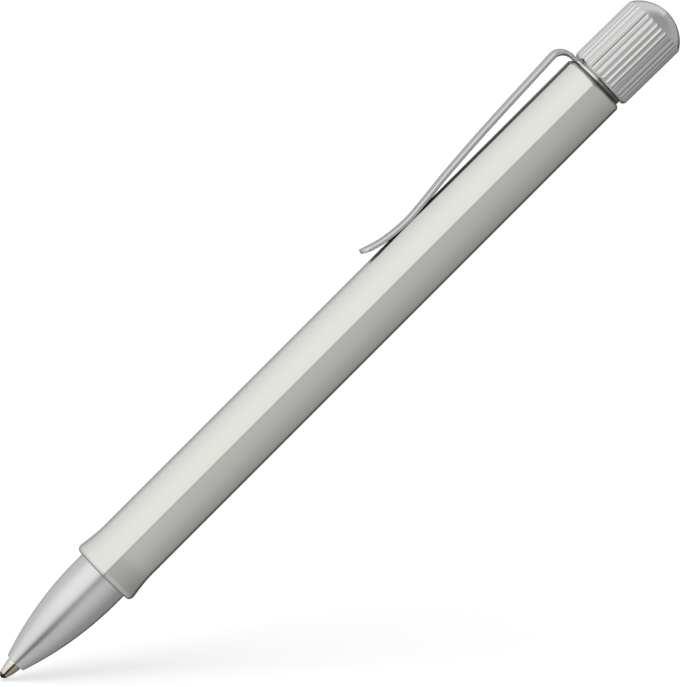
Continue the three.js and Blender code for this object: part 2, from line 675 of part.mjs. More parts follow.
// Clip. The line follows the edge of the leaf's outer side, from the ring to the tail, in x and z.
const lowX = barrelEnd - CLIP_LOW_POINT;
const lowZ = faceHeight(halfFlats, CLIP_WIDTH / 2) + CLIP_SPRING_GAP + CLIP_METAL;
const tailX = lowX - CLIP_TAIL;
const tailZ = lowZ + CLIP_TAIL_CURL - Math.sqrt(CLIP_TAIL_CURL ** 2 - CLIP_TAIL ** 2);
const bendX = ringBack - CLIP_BEND_RADIUS;
const bendZ = CLIP_HEIGHT - CLIP_BEND_RADIUS;
const armRise = CLIP_HEIGHT - lowZ;
const armRun = bendX - lowX;
const armSpline = new THREE.SplineCurve([
  new THREE.Vector2(bendX, CLIP_HEIGHT),
  new THREE.Vector2(lowX + 0.58 * armRun, lowZ + 0.708 * armRise),
  new THREE.Vector2(lowX + 0.3 * armRun, lowZ + 0.415 * armRise),
  new THREE.Vector2(lowX + 0.13 * armRun, lowZ + 0.135 * armRise),
  new THREE.Vector2(lowX, lowZ),
  new THREE.Vector2(tailX + 0.45 * CLIP_TAIL, lowZ + 0.3 * (tailZ - lowZ)),
  new THREE.Vector2(tailX, tailZ),
]);

// The leaf's section at a point of the line: an arched strip, CLIP_METAL thick. The arch spans the
// leaf's whole width, of which a section that is cut narrower keeps the middle.
function leafSection(point, outward, halfWidth, arch, archSpan = halfWidth) {
  const up = new THREE.Vector3(outward.x, 0, outward.y);
  const shares = Array.from({ length: CLIP_STEPS + 1 }, (_, i) => (2 * i) / CLIP_STEPS - 1);
  const surface = (share, depth) => {
    const y = halfWidth * share;
    const height = arch * (1 - (y / archSpan) ** 2) - depth;
    return new THREE.Vector3(point.x, y, point.y).addScaledVector(up, height);
  };
  const outer = shares.map((share) => surface(share, 0));
  const inner = shares.map((share) => surface(share, CLIP_METAL));
  return [...outer, ...inner.reverse()];
}

// The bend and the upright. The leaf's arch fades out towards the ring, and the leaf narrows.
const rootHalf = CLIP_ROOT_WIDTH / 2;
const uprightFoot = Math.sqrt(CLIP_RING_RADIUS ** 2 - rootHalf ** 2) - CLIP_ROOT_DEPTH;
const backwards = new THREE.Vector2(1, 0);
const rootSections = [uprightFoot, CLIP_RING_RADIUS + CLIP_FLAT_ROOT].map((height) =>
  leafSection(new THREE.Vector2(ringBack, height), backwards, rootHalf, 0),
);
for (let i = 0; i <= CLIP_BEND_STEPS; i++) {
  const share = i / CLIP_BEND_STEPS;
  const angle = (share * Math.PI) / 2;
  const outward = new THREE.Vector2(Math.cos(angle), Math.sin(angle));
  const point = outward.clone().multiplyScalar(CLIP_BEND_RADIUS).add(new THREE.Vector2(bendX, bendZ));
  const rise = Math.sin(angle) ** 2;
  const halfWidth = rootHalf + (CLIP_WIDTH / 2 - rootHalf) * rise;
  const arch = CLIP_CROWNING * (CLIP_ROOT_ARCH + (1 - CLIP_ROOT_ARCH) * rise);
  rootSections.push(leafSection(point, outward, halfWidth, arch));
}
const clipRing = sleeve(ringFront, ringBack, nutRadius + CLIP_RING_GAP, CLIP_RING_RADIUS);
piece("clip_ring", clipRing.add(loft(rootSections)), ...polishedSteel);

// The arm, from the bend to the tail, whose end is rounded.
const armSections = [rootSections.at(-1)];
for (let i = 1; i <= CLIP_ARM_STEPS; i++) {
  const point = armSpline.getPoint(i / CLIP_ARM_STEPS);
  const along = armSpline.getTangent(i / CLIP_ARM_STEPS);
  const outward = new THREE.Vector2(along.y, -along.x);
  const fromTail = Math.min(1, (point.x - tailX) / CLIP_TAIL_ROUNDING);
  const narrowing = 1 - CLIP_TAIL_NARROWING * (1 - Math.sqrt(1 - (1 - fromTail) ** 2));
  const fromLow = Math.max(0, (point.x - lowX) / armRun);
  const arch = CLIP_TOE_CROWNING + (CLIP_CROWNING - CLIP_TOE_CROWNING) * fromLow;
  armSections.push(leafSection(point, outward, (CLIP_WIDTH / 2) * narrowing, arch, CLIP_WIDTH / 2));
}
piece("clip_arm", loft(armSections), ...polishedSteel);

// Crown: a turned cap with straight ribs that run out where the dome starts
const domeRadius = (CROWN_RADIUS ** 2 + CROWN_DOME_HEIGHT ** 2) / (2 * CROWN_DOME_HEIGHT);
const domeAngle = Math.asin(CROWN_RADIUS / domeRadius);
const recessBack = crownFront + CROWN_RECESS_DEPTH;
const crownTurning = turned([
  [crownFront, CROWN_RECESS],
  [crownFront, CROWN_RADIUS - CROWN_CHAMFER],
  [crownFront + CROWN_CHAMFER, CROWN_RADIUS],
  ...arc(crownTop - domeRadius, 0, domeRadius, domeAngle, 0, DOME_STEPS),
  [recessBack + CROWN_BORE_DEPTH, 0],
  [recessBack + CROWN_BORE_DEPTH, CROWN_BORE],
  [recessBack, CROWN_BORE],
  [recessBack, CROWN_RECESS],
], FINE_ROUND);
const ribShape = new THREE.Shape();
for (let rib = 0; rib < CROWN_RIBS; rib++) {
  const middle = (rib * 2 * Math.PI) / CROWN_RIBS;
  const foot = CROWN_RADIUS - RIB_HEIGHT;
  const top = CROWN_RADIUS + RIB_CUT_PAST;
  const corners = [
    [foot, -RIB_FOOT],
    [top, -RIB_TOP],
    [top, RIB_TOP],
    [foot, RIB_FOOT],
  ];
  for (const [radius, width] of corners) {
    const angle = middle + width / 2 / radius;
    const place = [radius * Math.cos(angle), radius * Math.sin(angle)];
    if (rib === 0 && width === -RIB_FOOT) ribShape.moveTo(...place);
    else ribShape.lineTo(...place);
  }
}
ribShape.closePath();
const ribbedBar = new THREE.ExtrudeGeometry(ribShape, {
  depth: crownTop - crownFront + 2 * PAST_END,
  bevelEnabled: false,
});
ribbedBar.rotateY(Math.PI / 2).translate(crownFront - PAST_END, 0, 0);
piece("crown", crownTurning.intersect(solid(ribbedBar)), ...satinNickel);

piece("crown_washer", sleeve(
  recessBack - SEAT - CROWN_WASHER,
  recessBack - SEAT,
  STEM_RADIUS + RUNNING,
  CROWN_RECESS - CROWN_WASHER_GAP,
  SMALL_ROUND,
), ...acetal);
piece("crown_insert", turned([
  [recessBack + SEAT, STEM_RADIUS + PRESSED],
  [recessBack + SEAT, CROWN_BORE - PRESSED - INSERT_EDGE],
  [recessBack + SEAT + INSERT_EDGE, CROWN_BORE - PRESSED],
  [recessBack + INSERT_LENGTH, CROWN_BORE - PRESSED],
  [recessBack + INSERT_LENGTH, STEM_RADIUS + PRESSED],
], SMALL_ROUND), ...brass);

pen.position.set(-crownTop / 2, 0, lip);
export default pen;
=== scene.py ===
import math

import bmesh
import bpy
import numpy as np
from mathutils import Matrix, Vector


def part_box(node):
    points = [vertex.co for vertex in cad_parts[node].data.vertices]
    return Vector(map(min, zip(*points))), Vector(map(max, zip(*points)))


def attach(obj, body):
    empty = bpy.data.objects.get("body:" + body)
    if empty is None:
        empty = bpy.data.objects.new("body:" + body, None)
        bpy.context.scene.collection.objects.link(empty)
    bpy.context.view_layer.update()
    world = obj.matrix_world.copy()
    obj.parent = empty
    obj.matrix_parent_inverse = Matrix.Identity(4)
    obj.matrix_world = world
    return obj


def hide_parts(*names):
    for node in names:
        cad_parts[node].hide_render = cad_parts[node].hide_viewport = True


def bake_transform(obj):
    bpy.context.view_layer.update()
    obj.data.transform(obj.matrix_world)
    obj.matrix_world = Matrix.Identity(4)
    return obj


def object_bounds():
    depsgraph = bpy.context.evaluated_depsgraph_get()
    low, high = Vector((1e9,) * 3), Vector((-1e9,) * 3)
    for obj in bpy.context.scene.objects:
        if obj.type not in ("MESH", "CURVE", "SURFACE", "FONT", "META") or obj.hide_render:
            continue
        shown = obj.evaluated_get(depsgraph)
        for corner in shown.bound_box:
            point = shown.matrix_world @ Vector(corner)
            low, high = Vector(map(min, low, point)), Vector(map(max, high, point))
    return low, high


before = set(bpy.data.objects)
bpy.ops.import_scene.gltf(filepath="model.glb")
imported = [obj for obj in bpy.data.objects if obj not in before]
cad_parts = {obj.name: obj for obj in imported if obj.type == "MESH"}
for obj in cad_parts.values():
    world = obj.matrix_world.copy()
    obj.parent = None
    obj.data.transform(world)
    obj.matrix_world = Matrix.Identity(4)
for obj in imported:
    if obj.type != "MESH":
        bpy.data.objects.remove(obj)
cad_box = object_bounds()

# Camera. It looks at one edge of the barrel from 850 mm, a little from the clip's side, rolled by 45
# degrees, so that the pen lies across the picture from the lower left to the upper right. Lengths along
# the pen are in millimetres from the ball, and its axis runs along X through the refill's middle.
MM = 0.001
TIP_X = cad_box[0].x
AXIS_Z = sum(corner.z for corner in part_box("refill_tube")) / 2
PICTURE_WIDTH = 680
VIEW_DISTANCE = 850 * MM
PIXELS_PER_MM = 6.811
AIM_PAST_MIDDLE = 0.73 * MM  # the picture's centre, past the pen's middle
AIM_BELOW_AXIS = 0.57 * MM
FROM_CLIP_SIDE = math.radians(0.8)

lean = Matrix.Rotation(-FROM_CLIP_SIDE, 3, "X")
picture_right = lean @ Vector((1, 0, -1)).normalized()
picture_up = lean @ Vector((1, 0, 1)).normalized()
to_camera = lean @ Vector((0, -1, 0))
camera_data = bpy.data.cameras.new("camera")
camera_data.sensor_fit = "HORIZONTAL"
camera_data.sensor_width = 36
camera_data.lens = PIXELS_PER_MM / MM * VIEW_DISTANCE * camera_data.sensor_width / PICTURE_WIDTH
camera_data.clip_start = 0.01
camera_data.clip_end = 20
camera = bpy.data.objects.new("camera", camera_data)
bpy.context.collection.objects.link(camera)
middle_x = (cad_box[0].x + cad_box[1].x) / 2
aim = Vector((middle_x + AIM_PAST_MIDDLE, 0, AXIS_Z - AIM_BELOW_AXIS))
camera.matrix_world = Matrix.Translation(aim + to_camera * VIEW_DISTANCE) @ Matrix(
    (picture_right, picture_up, to_camera)
).transposed().to_4x4()
bpy.context.scene.camera = camera
bpy.context.scene.view_settings.view_transform = "Standard"

# Studio. A tent of soft light round the pen: bright above, dimmer below, with a dark gap where the
# camera looks in. It has a middle, whose lower side is darker at the crown, a front part past the tip,
# with a darker gap, and a rear part past the crown.

# Each stop is an angle in degrees about the pen's axis, from the camera towards the clip's side, and
# how bright the tent is there.
TENT_MIDDLE = [
    (-180, 0.14), (-168, 0.04), (-150, 0.06), (-138, 0.26), (-120, 0.28), (-104, 0.28), (-94, 0.31),
    (-80, 0.38), (-66, 0.46), (-50, 0.54), (-36, 0.58), (-24, 0.60), (-14, 0.52), (-7, 0.38), (1, 0.34),
    (7, 0.62), (14, 0.82), (22, 0.90), (38, 0.93), (56, 0.93), (72, 0.87), (84, 0.76), (94, 0.66),
    (120, 0.62), (144, 0.54), (164, 0.34), (180, 0.14),
]
TENT_FRONT = [
    (-180, 0.26), (-140, 0.28), (-110, 0.34), (-82, 0.43), (-58, 0.49), (-36, 0.52), (-24, 0.48),
    (-18, 0.32), (-13, 0.11), (-5, 0.09), (1, 0.18), (8, 0.46), (16, 0.66), (30, 0.80), (60, 0.80),
    (84, 0.72), (110, 0.56), (140, 0.44), (180, 0.24),
]
TENT_REAR = [(-180, 0.46), (-120, 0.42), (-60, 0.40), (0, 0.36), (60, 0.50), (120, 0.72), (180, 0.72)]
TENT_UNDER_CROWN = 0.75  # how much of the light from below is left at the crown
TENT_FRONT_END = 0.5
TENT_REAR_END = 0.36

# Where one part of the tent goes over into the next, as the sine of an angle along the pen.
FRONT_SPAN = (-0.2, -0.5)
FRONT_END_SPAN = (-0.8, -0.97)
CROWN_SPAN = (0.03, 0.08)
REAR_SPAN = (0.3, 0.6)
REAR_END_SPAN = (0.85, 0.98)

world = bpy.data.worlds.new("studio")
bpy.context.scene.world = world
world.use_nodes = True
tent = world.node_tree
tent.nodes.clear()


def add(tree, kind, links=(), **settings):
    """A new node, with its settings, its inputs' values or the sockets that feed them."""
    node = tree.nodes.new(kind)
    for key, value in settings.items():
        setattr(node, key, value)
    for socket, value in links:
        if isinstance(value, bpy.types.NodeSocket):
            tree.links.new(value, node.inputs[socket])
        else:
            node.inputs[socket].default_value = value
    return node


def cloth(place, levels):
    """A part of the tent: its brightness at a place from 0 to 1 round the pen's axis."""
    ramp = add(tent, "ShaderNodeValToRGB", [("Fac", place)])
    stops = ramp.color_ramp.elements
    stops.remove(stops[1])
    for number, (degrees, level) in enumerate(levels):
        stop = stops[0] if number == 0 else stops.new(0.5 + degrees / 360)
        stop.position = 0.5 + degrees / 360
        stop.color = (level, level, level, 1)
    return ramp.outputs["Color"]


def towards(lengthwise, start, stop, near, far):
    """One part of the tent that goes over into another between two places along the pen's axis."""
    share = add(
        tent,
        "ShaderNodeMapRange",
        [("Value", lengthwise), ("From Min", start), ("From Max", stop)],
    )
    mix = add(
        tent,
        "ShaderNodeMix",
        [("Factor", share.outputs["Result"]), (6, near), (7, far)],
        data_type="RGBA",
    )
    return mix.outputs[2]


direction = add(tent, "ShaderNodeTexCoord").outputs["Generated"]
parts = add(tent, "ShaderNodeSeparateXYZ", [(0, direction)])
camera_side = add(tent, "ShaderNodeMath", [(0, parts.outputs["Y"]), (1, -1.0)], operation="MULTIPLY")
angle = add(
    tent,
    "ShaderNodeMath",
    [(0, parts.outputs["Z"]), (1, camera_side.outputs[0])],
    operation="ARCTAN2",
)
place = add(
    tent,
    "ShaderNodeMapRange",
    [("Value", angle.outputs[0]), ("From Min", -math.pi), ("From Max", math.pi)],
).outputs["Result"]
lengthwise = parts.outputs["X"]
front_end = (TENT_FRONT_END, TENT_FRONT_END, TENT_FRONT_END, 1)
rear_end = (TENT_REAR_END, TENT_REAR_END, TENT_REAR_END, 1)
light = towards(lengthwise, *FRONT_SPAN, cloth(place, TENT_MIDDLE), cloth(place, TENT_FRONT))
light = towards(lengthwise, *FRONT_END_SPAN, light, front_end)
under_crown = [
    (degrees, level * (TENT_UNDER_CROWN if degrees < 0 else 1)) for degrees, level in TENT_MIDDLE
]
light = towards(lengthwise, *CROWN_SPAN, light, cloth(place, under_crown))
light = towards(lengthwise, *REAR_SPAN, light, cloth(place, TENT_REAR))
light = towards(lengthwise, *REAR_END_SPAN, light, rear_end)
seen = add(tent, "ShaderNodeLightPath").outputs["Is Camera Ray"]
tent_light = add(tent, "ShaderNodeBackground", [("Color", light)])
white = add(tent, "ShaderNodeBackground", [("Color", (1, 1, 1, 1))])
choice = add(tent, "ShaderNodeMixShader", [(0, seen), (1, tent_light.outputs[0]), (2, white.outputs[0])])
add(tent, "ShaderNodeOutputWorld", [("Surface", choice.outputs[0])])

# Overhead lamp. It stands above the pen in the picture, a little to the camera's side, and only gives
# the soft shadow on the ground, so it makes no highlight on the metal.
LAMP_STRENGTH = 1.15
LAMP_WIDTH = math.radians(46)
LAMP_TO_CAMERA = 0.5
LAMP_TO_TIP = 0.1

lamp_data = bpy.data.lights.new("overhead_lamp", "SUN")
lamp_data.energy = LAMP_STRENGTH
lamp_data.angle = LAMP_WIDTH
lamp = bpy.data.objects.new("overhead_lamp", lamp_data)
bpy.context.collection.objects.link(lamp)
lamp_from = (picture_up + to_camera * LAMP_TO_CAMERA - picture_right * LAMP_TO_TIP).normalized()
lamp.rotation_euler = lamp_from.to_track_quat("Z", "Y").to_euler()
lamp.visible_glossy = False

# Ground, a white sheet under the tip, lit through from below so that it stays white round the shadow.
# It is seen by the camera alone, and from above alone.
GROUND_TILT = math.radians(13)
GROUND_SIZE = 3.0
GROUND_WHITE = 0.5
GROUND_GLOW = 0.57
GROUND_BELOW_BALL = 0.5

ground_up = (picture_up * math.cos(GROUND_TILT) + to_camera * math.sin(GROUND_TILT)).normalized()
ground_along = picture_right
ground_across = ground_up.cross(ground_along)
ground_middle = Vector((TIP_X, 0, AXIS_Z)) - ground_up * GROUND_BELOW_BALL * MM
ground_mesh = bpy.data.meshes.new("ground")
corners = [(-1, -1), (1, -1), (1, 1), (-1, 1)]
ground_mesh.from_pydata(
    [ground_middle + (ground_along * a + ground_across * b) * GROUND_SIZE / 2 for a, b in corners],
    [],
    [(0, 1, 2, 3)],
)
ground = bpy.data.objects.new("ground", ground_mesh)
bpy.context.collection.objects.link(ground)
ground.visible_glossy = False
ground.visible_diffuse = False
ground.visible_transmission = False
ground.visible_shadow = False
ground_material = bpy.data.materials.new("white_ground")
ground_material.use_nodes = True
ground_tree = ground_material.node_tree
ground_tree.nodes.clear()
paper_white = (GROUND_WHITE, GROUND_WHITE, GROUND_WHITE, 1)
paper = add(ground_tree, "ShaderNodeBsdfDiffuse", [("Color", paper_white)])
glow = add(ground_tree, "ShaderNodeEmission", [("Strength", GROUND_GLOW)])
sheet = add(ground_tree, "ShaderNodeAddShader", [(0, paper.outputs[0]), (1, glow.outputs[0])])
below = add(ground_tree, "ShaderNodeNewGeometry").outputs["Backfacing"]
clear = add(ground_tree, "ShaderNodeBsdfTransparent")
ground_choice = add(
    ground_tree,
    "ShaderNodeMixShader",
    [(0, below), (1, sheet.outputs[0]), (2, clear.outputs[0])],
)
add(ground_tree, "ShaderNodeOutputMaterial", [("Surface", ground_choice.outputs[0])])
ground_mesh.materials.append(ground_material)

# Barrel. An aluminium tube, drawn with six slightly crowned faces, flared at its mouth, turned down
# at 45 degrees at its rear end, blasted fine and anodised in its own silver colour.
MOUTH = 21.325
BARREL_END = 123.385
HALF_FLATS = 5.04
CROWNED_FACE_RADIUS = 9.71
EDGE_SOFTNESS = 0.035
LIP = 5.46
LIP_LENGTH = 0.8
LIP_HEIGHT = 0.42
FLARE_LENGTH = 4.3
CHAMFER_FOOT = 4.57
REBATE_DEPTH = 0.12
REBATE_RADIUS = 4.3
BARREL_BORE = 4.1
MOUTH_BORE = 4.42
REAR_BORE = 3.5
BUSH_BACK = 33.46
SHOULDER = 116.01
FLARE_BELLY = 0.6  # how much fuller the flare is than a parabola
BARREL_SIDES = 360

# A metal's grain, and the slow change of its roughness.
GRAIN_HEIGHT = 0.02 * MM
DRIFT_SCALE = 180.0

# Painted shade in the joints: the barrel's two ends are darkened where the clip's ring, the crown and the
# nose cone shade them.
PAINTED_SHADE_REACH = 0.1
REAR_PAINTED_SHADE = (0.22, 0.22, 0.22)
REAR_PAINTED_SHADE_FADE = 0.6 * MM
MOUTH_PAINTED_SHADE = (0.5, 0.5, 0.5)
MOUTH_PAINTED_SHADE_FADE = 0.2 * MM


def along(x):
    """A place along the pen, given in millimetres from the ball, in metres in the frame."""
    return TIP_X + x * MM


def skin(name, grid, close_along=False, sharp=32):
    """A mesh through a grid of points in millimetres: a row for each place along the piece, with its
    points round the piece and back to the first. close_along joins the last row to the first one, and
    an edge stays sharp where its faces turn by more than sharp degrees."""
    rows, columns = grid.shape[:2]
    index = np.arange(rows * columns).reshape(rows, columns)
    if close_along:
        index = np.vstack([index, index[:1]])
    near, far = index[:-1], index[1:]
    quads = np.stack([near, np.roll(near, -1, 1), np.roll(far, -1, 1), far], axis=-1).reshape(-1, 4)
    points = grid.reshape(-1, 3) * MM + np.array([TIP_X, 0, AXIS_Z])
    mesh = bpy.data.meshes.new(name)
    mesh.from_pydata(points.tolist(), [], quads.tolist())
    work = bmesh.new()
    work.from_mesh(mesh)
    bmesh.ops.remove_doubles(work, verts=work.verts, dist=1e-8)
    bmesh.ops.recalc_face_normals(work, faces=work.faces)
    work.to_mesh(mesh)
    work.free()
    mesh.shade_smooth()
    mesh.set_sharp_from_angle(angle=math.radians(sharp))
    piece = bpy.data.objects.new(name, mesh)
    bpy.context.collection.objects.link(piece)
    return piece


def spun(x, radius, angle):
    """Points at a place x, a radius and an angle about the pen's axis, from +Y towards +Z."""
    x, radius, angle = np.broadcast_arrays(x, radius, angle)
    return np.stack([x, radius * np.cos(angle), radius * np.sin(angle)], axis=-1)


def lathe(outline, angle):
    """Points of an outline spun about the pen's axis. The outline is places along the pen and radii."""
    outline = np.asarray(outline, float)
    return spun(outline[:, :1], outline[:, 1:], angle)


def hexagon(half_flats, angle):
    """The radius of the barrel's section at an angle. Each face is an arc of radius CROWNED_FACE_RADIUS
    whose top is half_flats from the axis, and the section is the soft minimum of the arcs that face the
    angle: -softness * log(sum(exp(-reach / softness)))."""
    faces = np.arange(6) * math.pi / 3 + math.pi / 2
    turn = np.asarray(angle)[..., None] - faces
    centre = np.asarray(half_flats)[..., None] - CROWNED_FACE_RADIUS
    inside = CROWNED_FACE_RADIUS**2 - (centre * np.sin(turn)) ** 2
    facing = np.cos(turn) > 0.3
    reach = np.where(facing, centre * np.cos(turn) + np.sqrt(np.maximum(inside, 0)), np.inf)
    return -EDGE_SOFTNESS * np.log(np.exp(-reach / EDGE_SOFTNESS).sum(-1))


def one_colour(name, colour, metallic):
    """A material of one colour, its shader, and the place on the piece for a pattern to start from."""
    material = bpy.data.materials.new(name)
    material.use_nodes = True
    shader = material.node_tree.nodes["Principled BSDF"]
    shader.inputs["Base Color"].default_value = (*colour, 1)
    shader.inputs["Metallic"].default_value = metallic
    place = add(material.node_tree, "ShaderNodeTexCoord").outputs["Object"]
    return material, shader, place


def roughen(material, shader, pattern, smoothest, roughest):
    """Let a pattern set how rough a surface is, between two levels."""
    level = add(
        material.node_tree,
        "ShaderNodeMapRange",
        [("Value", pattern), ("To Min", smoothest), ("To Max", roughest)],
    )
    material.node_tree.links.new(level.outputs["Result"], shader.inputs["Roughness"])


def emboss(material, shader, pattern, depth, height):
    """Let a pattern stand up in a surface, by a share of a height."""
    bump = add(
        material.node_tree,
        "ShaderNodeBump",
        [("Height", pattern), ("Strength", depth), ("Distance", height)],
    )
    material.node_tree.links.new(bump.outputs["Normal"], shader.inputs["Normal"])


def satin_metal(name, colour, roughness, grain, depth, wear=0.06):
    """A blasted or polished metal: fine grain in the surface, and a roughness that drifts a little."""
    material, shader, place = one_colour(name, colour, 1)
    tree = material.node_tree
    drift = add(tree, "ShaderNodeTexNoise", [("Vector", place), ("Scale", DRIFT_SCALE), ("Detail", 4.0)])
    roughen(material, shader, drift.outputs["Fac"], roughness - wear, roughness + wear)
    blasting = add(tree, "ShaderNodeTexNoise", [("Vector", place), ("Scale", grain), ("Detail", 2.0)])
    emboss(material, shader, blasting.outputs["Fac"], depth, GRAIN_HEIGHT)
    return material


def stain_and_painted_shade(material, axis, start, stop, fade, shade):
    """Multiply a finish's colour by a shade between two places along an axis of its piece, in metres.
    Past each of them the shade fades out. It paints real stains, such as ink, and painted shade and painted
    reflections."""
    tree = material.node_tree
    base = tree.nodes["Principled BSDF"].inputs["Base Color"]
    clean = base.links[0].from_socket if base.links else base.default_value[:]
    place = add(tree, "ShaderNodeTexCoord").outputs["Object"]
    part = add(tree, "ShaderNodeSeparateXYZ", [(0, place)]).outputs[axis]
    middle = (start + stop) / 2
    offset = add(tree, "ShaderNodeMath", [(0, part), (1, middle)], operation="SUBTRACT")
    distance = add(tree, "ShaderNodeMath", [(0, offset.outputs[0])], operation="ABSOLUTE")
    half = (stop - start) / 2
    share = add(
        tree,
        "ShaderNodeMapRange",
        [("Value", distance.outputs[0]), ("From Min", half), ("From Max", half + fade)],
    )
    tone = add(
        tree,
        "ShaderNodeMix",
        [("Factor", share.outputs["Result"]), (6, (*shade, 1)), (7, (1, 1, 1, 1))],
        data_type="RGBA",
    )
    product = add(
        tree,
        "ShaderNodeMix",
        [("Factor", 1.0), (6, clean), (7, tone.outputs[2])],
        data_type="RGBA",
        blend_type="MULTIPLY",
    )
    tree.links.new(product.outputs[2], base)


def dress(piece, material, body, node):
    """Give a piece its material, the body that it rides on and the CAD node that it stands for."""
    piece.data.materials.append(material)
    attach(piece, body)
    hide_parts(node)


barrel_finish = satin_metal("anodised_aluminium", (0.85, 0.85, 0.80), 0.26, 9000.0, 0.1, wear=0.03)
# Painted shade at the barrel's rear end, next to the ring and the crown, and at its mouth, next to the nose
# cone.
rear_painted_shade_from = along(BARREL_END - PAINTED_SHADE_REACH)
rear_painted_shade_to = along(BARREL_END + PAINTED_SHADE_REACH)
stain_and_painted_shade(barrel_finish, "X", rear_painted_shade_from, rear_painted_shade_to, REAR_PAINTED_SHADE_FADE, REAR_PAINTED_SHADE)
mouth_painted_shade_from = along(MOUTH - PAINTED_SHADE_REACH)
mouth_painted_shade_to = along(MOUTH + PAINTED_SHADE_REACH)
stain_and_painted_shade(barrel_finish, "X", mouth_painted_shade_from, mouth_painted_shade_to, MOUTH_PAINTED_SHADE_FADE, MOUTH_PAINTED_SHADE)
turns = np.linspace(0, 2 * math.pi, BARREL_SIDES, endpoint=False) + math.pi / BARREL_SIDES
lip_turn = np.linspace(0, math.pi / 2, 10)[:, None]
lip_x = MOUTH + LIP_LENGTH * (1 - np.cos(lip_turn))
lip_half = LIP - LIP_HEIGHT * (1 - np.sin(lip_turn))
flare = np.linspace(0, 1, 26)[1:, None]
flare_x = MOUTH + LIP_LENGTH + flare * FLARE_LENGTH
flare_half = HALF_FLATS + (LIP - HALF_FLATS) * (1 - flare) ** 2 * (1 + FLARE_BELLY * flare)
front_x = np.vstack([lip_x, flare_x])
front_half = np.vstack([lip_half, flare_half])
front_rows = spun(front_x, hexagon(front_half, turns[None, :] + 0 * front_x), turns)
straight = hexagon(HALF_FLATS + 0 * turns, turns)
chamfer_start = BARREL_END - (straight - CHAMFER_FOOT)
body_share = np.linspace(0, 1, 40)[1:, None]
body_rows = spun(flare_x[-1] + body_share * (chamfer_start - flare_x[-1]), straight, turns)
edge_share = np.linspace(0, 1, 5)[1:, None]
chamfer_rows = spun(
    chamfer_start + edge_share * (BARREL_END - REBATE_DEPTH - chamfer_start),
    straight + edge_share * (CHAMFER_FOOT + REBATE_DEPTH - straight),
    turns,
)
inside_outline = [
    (BARREL_END - REBATE_DEPTH, REBATE_RADIUS), (BARREL_END, REBATE_RADIUS), (BARREL_END, REAR_BORE),
    (SHOULDER, REAR_BORE), (SHOULDER, BARREL_BORE), (BUSH_BACK, BARREL_BORE), (BUSH_BACK, MOUTH_BORE),
    (MOUTH, MOUTH_BORE),
]
barrel_grid = np.vstack([front_rows, body_rows, chamfer_rows, lathe(inside_outline, turns)])
dress(
    skin("barrel_tube", barrel_grid, close_along=True),
    barrel_finish, "barrel", "barrel",
)

# Nose cone. Brass, turned to an ogive, blasted and nickel plated. Its spigot carries the thread that
# screws into the barrel, and its front hole guides the refill's tip.
NOSE_FRONT = 2.98
NOSE_RADIUS = 4.35
NOSE_FACE_RADIUS = 1.6
NOSE_EDGE = 0.14
OGIVE_LENGTH = 16.775
NOSE_BACK = 21.585
SPIGOT_RADIUS = 3.85
SPIGOT_BACK = 30.925
THREAD_PITCH = 0.75
THREAD_DEPTH = 0.3
THREAD_RELIEF = 1.5
THREAD_RUN_OUT = 0.3
TIP_HOLE = 1.27
TIP_HOLE_BACK = 7.03
NECK_ROOM = 1.9
SPRING_SEAT = 9.0
SPRING_ROOM = 2.55
SPRING_ROOM_BACK = 17.0
TUBE_ROOM = 3.15
TUBE_ROOM_FRONT = 17.6


def turned(name, outline, sides=180, closed=True, sharp=32):
    """A piece spun about the pen's axis from an outline of places along it and radii, both in
    millimetres. A closed outline runs back to its start, and an open one ends on the axis."""
    angle = np.linspace(0, 2 * math.pi, sides, endpoint=False)
    return skin(name, lathe(outline, angle), closed, sharp)


def arc(centre_x, centre_radius, radius, start, stop, steps):
    """The points of a circle's arc in the plane of an outline, from one angle in radians to another."""
    angle = np.linspace(start, stop, steps)
    outward = np.stack([np.cos(angle), np.sin(angle)], axis=-1)
    return np.array([centre_x, centre_radius]) + radius * outward


plated_finish = satin_metal("satin_nickel", (0.83, 0.835, 0.825), 0.24, 12000.0, 0.08, wear=0.02)
ogive_drop = NOSE_RADIUS - NOSE_FACE_RADIUS
ogive_radius = (OGIVE_LENGTH**2 + ogive_drop**2) / (2 * ogive_drop)
ogive_from = math.pi / 2 + math.asin((OGIVE_LENGTH - NOSE_EDGE) / ogive_radius)
ogive_x = NOSE_FRONT + OGIVE_LENGTH
ogive = arc(ogive_x, NOSE_RADIUS - ogive_radius, ogive_radius, ogive_from, math.pi / 2, 60)
tip_edge = arc(ogive[0, 0], ogive[0, 1] - NOSE_EDGE, NOSE_EDGE, math.pi, math.pi / 2, 6)[:-1]
bore_outline = [
    (SPIGOT_BACK, TUBE_ROOM), (TUBE_ROOM_FRONT, TUBE_ROOM), (SPRING_ROOM_BACK, SPRING_ROOM),
    (SPRING_SEAT, SPRING_ROOM), (SPRING_SEAT, NECK_ROOM), (TIP_HOLE_BACK, NECK_ROOM),
    (TIP_HOLE_BACK, TIP_HOLE),
]
cone_angle = np.linspace(0, 2 * math.pi, 144, endpoint=False)
thread_x = np.linspace(NOSE_BACK + THREAD_RELIEF, SPIGOT_BACK - THREAD_RUN_OUT, 140)[:, None]
thread_turn = (thread_x / THREAD_PITCH - cone_angle / (2 * math.pi)) % 1
thread_fade = np.clip(np.minimum(thread_x - thread_x[0], thread_x[-1] - thread_x) / THREAD_PITCH, 0, 1)
thread_radius = SPIGOT_RADIUS - THREAD_DEPTH + thread_fade * THREAD_DEPTH * (1 - abs(2 * thread_turn - 1))
front_face = [(NOSE_FRONT, TIP_HOLE), (NOSE_FRONT, ogive[0, 1] - NOSE_EDGE)]
back_face = [(NOSE_BACK, NOSE_RADIUS), (NOSE_BACK, SPIGOT_RADIUS - THREAD_DEPTH)]
